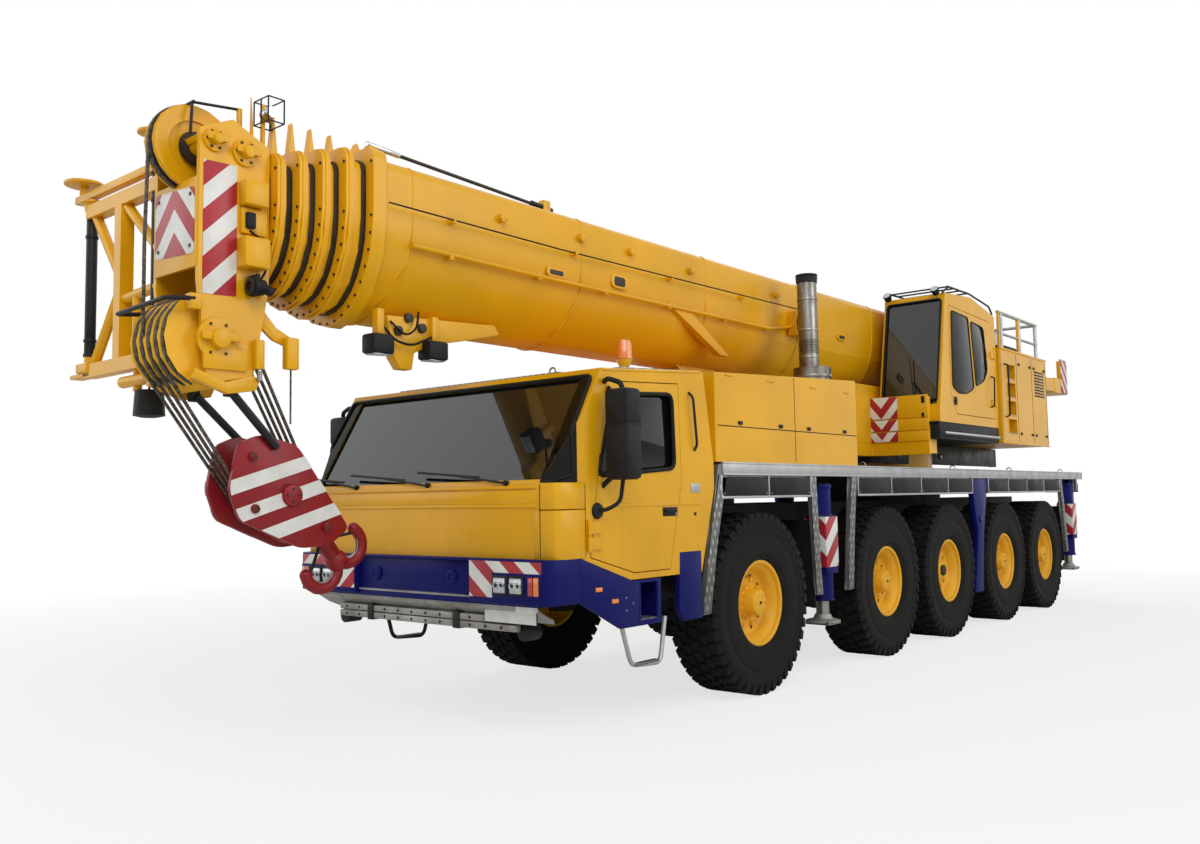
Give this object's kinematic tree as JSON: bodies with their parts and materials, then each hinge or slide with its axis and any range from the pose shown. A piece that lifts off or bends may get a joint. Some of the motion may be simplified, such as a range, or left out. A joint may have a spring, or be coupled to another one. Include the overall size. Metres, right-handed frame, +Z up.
{
  "type": "mobile crane",
  "caption": "Truck-mounted mobile crane with a telescopic boom lying forward over the carrier cab, a slewing upper structure with its own cab, and stowed outriggers.",
  "frame": {"origin": "on the ground at the middle of the machine's whole length and width", "axes": "+Z up, -Y towards the carrier's front, +X the machine's left side, where the upper cab is"},
  "size_m": [3.27, 14.11, 4.06],
  "materials": {
    "yellow_paint": "gloss enamel",
    "blue_paint": "gloss enamel",
    "frame_paint": "satin, road dust",
    "aluminium": "raised tread plate",
    "tyre": "rubber on painted rims",
    "glass": "tinted",
    "steel": "bare or plated",
    "red_paint": "gloss enamel, worn",
    "cab_trim": "moulded and cloth"
  },
  "bodies": {
    "carrier": {"chassis_frame": "frame_paint", "carrier_deck": "aluminium", "carrier_cab": "yellow_paint", "carrier_windscreen": "glass", "carrier_interior": "cab_trim", "front_bumper": "blue_paint", "engine_housing": "yellow_paint", "exhaust_stack": "steel", "axle_1": "frame_paint", "axle_2": "frame_paint", "axle_3": "frame_paint", "axle_4": "frame_paint", "axle_5": "frame_paint"},
    "knuckle_1_left": {"knuckle_1_left": "steel"},
    "wheel_1_left": {"wheel_1_left": "tyre"},
    "knuckle_1_right": {"knuckle_1_right": "steel"},
    "wheel_1_right": {"wheel_1_right": "tyre"},
    "knuckle_2_left": {"knuckle_2_left": "steel"},
    "wheel_2_left": {"wheel_2_left": "tyre"},
    "knuckle_2_right": {"knuckle_2_right": "steel"},
    "wheel_2_right": {"wheel_2_right": "tyre"},
    "wheel_3_left": {"wheel_3_left": "tyre"},
    "wheel_3_right": {"wheel_3_right": "tyre"},
    "knuckle_4_left": {"knuckle_4_left": "steel"},
    "wheel_4_left": {"wheel_4_left": "tyre"},
    "knuckle_4_right": {"knuckle_4_right": "steel"},
    "wheel_4_right": {"wheel_4_right": "tyre"},
    "knuckle_5_left": {"knuckle_5_left": "steel"},
    "wheel_5_left": {"wheel_5_left": "tyre"},
    "knuckle_5_right": {"knuckle_5_right": "steel"},
    "wheel_5_right": {"wheel_5_right": "tyre"},
    "outrigger_beam_front_left": {"outrigger_beam_front_left": "blue_paint"},
    "outrigger_jack_front_left": {"outrigger_jack_front_left": "steel"},
    "outrigger_beam_front_right": {"outrigger_beam_front_right": "blue_paint"},
    "outrigger_jack_front_right": {"outrigger_jack_front_right": "steel"},
    "outrigger_beam_rear_left": {"outrigger_beam_rear_left": "blue_paint"},
    "outrigger_jack_rear_left": {"outrigger_jack_rear_left": "steel"},
    "outrigger_beam_rear_right": {"outrigger_beam_rear_right": "blue_paint"},
    "outrigger_jack_rear_right": {"outrigger_jack_rear_right": "steel"},
    "carrier_door_left": {"carrier_door_left": "yellow_paint"},
    "carrier_door_right": {"carrier_door_right": "yellow_paint"},
    "superstructure": {"turntable": "yellow_paint", "upper_cab": "yellow_paint", "upper_windscreen": "glass", "upper_seat": "cab_trim", "machinery_box": "yellow_paint", "winch_drum": "steel"},
    "upper_door": {"upper_cab_door": "yellow_paint"},
    "boom_base": {"boom_base": "yellow_paint"},
    "boom_section_1": {"boom_section_1": "yellow_paint"},
    "boom_section_2": {"boom_section_2": "yellow_paint"},
    "boom_section_3": {"boom_section_3": "yellow_paint"},
    "boom_section_4": {"boom_section_4": "yellow_paint"},
    "boom_head": {"boom_head": "yellow_paint", "head_sheave_top": "yellow_paint", "head_sheaves_low": "steel", "jib_bracket": "yellow_paint"},
    "luffing_barrel": {"luffing_barrel": "yellow_paint"},
    "luffing_rod": {"luffing_rod": "steel"},
    "hook_block": {"hook_block": "red_paint"}
  },
  "joints": [
    {"name": "roll_1_left", "type": "hinge", "parent": "knuckle_1_left", "child": "wheel_1_left", "pos_m": [1.1525, -2.505, 0.745], "axis": [-1, 0, 0], "continuous": true},
    {"name": "roll_1_right", "type": "hinge", "parent": "knuckle_1_right", "child": "wheel_1_right", "pos_m": [-1.1525, -2.505, 0.745], "axis": [-1, 0, 0], "continuous": true},
    {"name": "roll_2_left", "type": "hinge", "parent": "knuckle_2_left", "child": "wheel_2_left", "pos_m": [1.1525, -0.045, 0.745], "axis": [-1, 0, 0], "continuous": true},
    {"name": "roll_2_right", "type": "hinge", "parent": "knuckle_2_right", "child": "wheel_2_right", "pos_m": [-1.1525, -0.045, 0.745], "axis": [-1, 0, 0], "continuous": true},
    {"name": "roll_3_left", "type": "hinge", "parent": "carrier", "child": "wheel_3_left", "pos_m": [1.1525, 1.605, 0.745], "axis": [-1, 0, 0], "continuous": true},
    {"name": "roll_3_right", "type": "hinge", "parent": "carrier", "child": "wheel_3_right", "pos_m": [-1.1525, 1.605, 0.745], "axis": [-1, 0, 0], "continuous": true},
    {"name": "roll_4_left", "type": "hinge", "parent": "knuckle_4_left", "child": "wheel_4_left", "pos_m": [1.1525, 3.475, 0.745], "axis": [-1, 0, 0], "continuous": true},
    {"name": "roll_4_right", "type": "hinge", "parent": "knuckle_4_right", "child": "wheel_4_right", "pos_m": [-1.1525, 3.475, 0.745], "axis": [-1, 0, 0], "continuous": true},
    {"name": "roll_5_left", "type": "hinge", "parent": "knuckle_5_left", "child": "wheel_5_left", "pos_m": [1.1525, 5.125, 0.745], "axis": [-1, 0, 0], "continuous": true},
    {"name": "roll_5_right", "type": "hinge", "parent": "knuckle_5_right", "child": "wheel_5_right", "pos_m": [-1.1525, 5.125, 0.745], "axis": [-1, 0, 0], "continuous": true},
    {"name": "steer_1_left", "type": "hinge", "parent": "carrier", "child": "knuckle_1_left", "pos_m": [0.9, -2.505, 0.745], "axis": [0, 0, 1], "range_deg": [-30, 30]},
    {"name": "steer_1_right", "type": "hinge", "parent": "carrier", "child": "knuckle_1_right", "pos_m": [-0.9, -2.505, 0.745], "axis": [0, 0, 1], "range_deg": [-30.6, 30.6]},
    {"name": "steer_2_left", "type": "hinge", "parent": "carrier", "child": "knuckle_2_left", "pos_m": [0.9, -0.045, 0.745], "axis": [0, 0, 1], "range_deg": [-20.4, 20.4]},
    {"name": "steer_2_right", "type": "hinge", "parent": "carrier", "child": "knuckle_2_right", "pos_m": [-0.9, -0.045, 0.745], "axis": [0, 0, 1], "range_deg": [-20.4, 20.4]},
    {"name": "steer_4_left", "type": "hinge", "parent": "carrier", "child": "knuckle_4_left", "pos_m": [0.9, 3.475, 0.745], "axis": [0, 0, 1], "range_deg": [-12.24, 12.24]},
    {"name": "steer_4_right", "type": "hinge", "parent": "carrier", "child": "knuckle_4_right", "pos_m": [-0.9, 3.475, 0.745], "axis": [0, 0, 1], "range_deg": [-12.24, 12.24]},
    {"name": "steer_5_left", "type": "hinge", "parent": "carrier", "child": "knuckle_5_left", "pos_m": [0.9, 5.125, 0.745], "axis": [0, 0, 1], "range_deg": [-20, 20]},
    {"name": "steer_5_right", "type": "hinge", "parent": "carrier", "child": "knuckle_5_right", "pos_m": [-0.9, 5.125, 0.745], "axis": [0, 0, 1], "range_deg": [-20.4, 20.4]},
    {"name": "beam_out_front_left", "type": "slide", "parent": "carrier", "child": "outrigger_beam_front_left", "axis": [1, 0, 0], "range_m": [0, 1.9]},
    {"name": "jack_down_front_left", "type": "slide", "parent": "outrigger_beam_front_left", "child": "outrigger_jack_front_left", "axis": [0, 0, -1], "range_m": [0, 0.62]},
    {"name": "beam_out_front_right", "type": "slide", "parent": "carrier", "child": "outrigger_beam_front_right", "axis": [-1, 0, 0], "range_m": [0, 1.9]},
    {"name": "jack_down_front_right", "type": "slide", "parent": "outrigger_beam_front_right", "child": "outrigger_jack_front_right", "axis": [0, 0, -1], "range_m": [0, 0.62]},
    {"name": "beam_out_rear_left", "type": "slide", "parent": "carrier", "child": "outrigger_beam_rear_left", "axis": [1, 0, 0], "range_m": [0, 1.9]},
    {"name": "jack_down_rear_left", "type": "slide", "parent": "outrigger_beam_rear_left", "child": "outrigger_jack_rear_left", "axis": [0, 0, -1], "range_m": [0, 0.62]},
    {"name": "beam_out_rear_right", "type": "slide", "parent": "carrier", "child": "outrigger_beam_rear_right", "axis": [-1, 0, 0], "range_m": [0, 1.9]},
    {"name": "jack_down_rear_right", "type": "slide", "parent": "outrigger_beam_rear_right", "child": "outrigger_jack_rear_right", "axis": [0, 0, -1], "range_m": [0, 0.62]},
    {"name": "door_open_left", "type": "hinge", "parent": "carrier", "child": "carrier_door_left", "pos_m": [1.391, -4.72, 1.06], "axis": [0, 0, -1], "range_deg": [0, 70]},
    {"name": "door_open_right", "type": "hinge", "parent": "carrier", "child": "carrier_door_right", "pos_m": [-1.391, -4.72, 1.06], "axis": [0, 0, 1], "range_deg": [0, 70]},
    {"name": "slew", "type": "hinge", "parent": "carrier", "child": "superstructure", "pos_m": [0, 2.645, 1.9], "axis": [0, 0, 1], "continuous": true},
    {"name": "upper_door_open", "type": "hinge", "parent": "superstructure", "child": "upper_door", "pos_m": [1.346, 3.415, 2.56], "axis": [0, 0, 1], "range_deg": [0, 85]},
    {"name": "boom_luff", "type": "hinge", "parent": "superstructure", "child": "boom_base", "pos_m": [0, 4.545, 3.42], "axis": [-1, 0, 0], "range_deg": [0, 80]},
    {"name": "barrel_turn", "type": "hinge", "parent": "superstructure", "child": "luffing_barrel", "pos_m": [0, 2.495, 2.38], "axis": [-1, 0, 0], "range_deg": [0, 87.9]},
    {"name": "rod_out", "type": "slide", "parent": "luffing_barrel", "child": "luffing_rod", "axis": [0, -0.9963, 0.0858], "range_m": [0, 2.875]},
    {"name": "telescope_1", "type": "slide", "parent": "boom_base", "child": "boom_section_1", "axis": [0, -1, 0], "range_m": [0, 8.1]},
    {"name": "telescope_2", "type": "slide", "parent": "boom_section_1", "child": "boom_section_2", "axis": [0, -1, 0], "range_m": [0, 8.1]},
    {"name": "telescope_3", "type": "slide", "parent": "boom_section_2", "child": "boom_section_3", "axis": [0, -1, 0], "range_m": [0, 8.1]},
    {"name": "telescope_4", "type": "slide", "parent": "boom_section_3", "child": "boom_section_4", "axis": [0, -1, 0], "range_m": [0, 8.1]},
    {"name": "telescope_5", "type": "slide", "parent": "boom_section_4", "child": "boom_head", "axis": [0, -1, 0], "range_m": [0, 8.1]},
    {"name": "hook_hang", "type": "hinge", "parent": "boom_head", "child": "hook_block", "pos_m": [0, -6.755, 2.6], "axis": [1, 0, 0], "range_deg": [0, 49]}
  ],
  "couplings": [
    {"joint": "steer_1_right", "follows": "steer_1_left", "ratio": 1},
    {"joint": "steer_2_left", "follows": "steer_1_left", "ratio": 0.65},
    {"joint": "steer_2_right", "follows": "steer_1_left", "ratio": 0.65},
    {"joint": "steer_4_left", "follows": "steer_5_left", "ratio": 0.55},
    {"joint": "steer_4_right", "follows": "steer_5_left", "ratio": 0.55},
    {"joint": "steer_5_right", "follows": "steer_5_left", "ratio": 1},
    {"joint": "barrel_turn", "follows": "boom_luff", "ratio": 1.0969},
    {"joint": "rod_out", "follows": "boom_luff", "m_per_rad": 2.0556},
    {"joint": "telescope_2", "follows": "telescope_1", "ratio": 1},
    {"joint": "telescope_3", "follows": "telescope_1", "ratio": 1},
    {"joint": "telescope_4", "follows": "telescope_1", "ratio": 1},
    {"joint": "telescope_5", "follows": "telescope_1", "ratio": 1},
    {"joint": "hook_hang", "follows": "boom_luff", "ratio": 0.6}
  ]
}
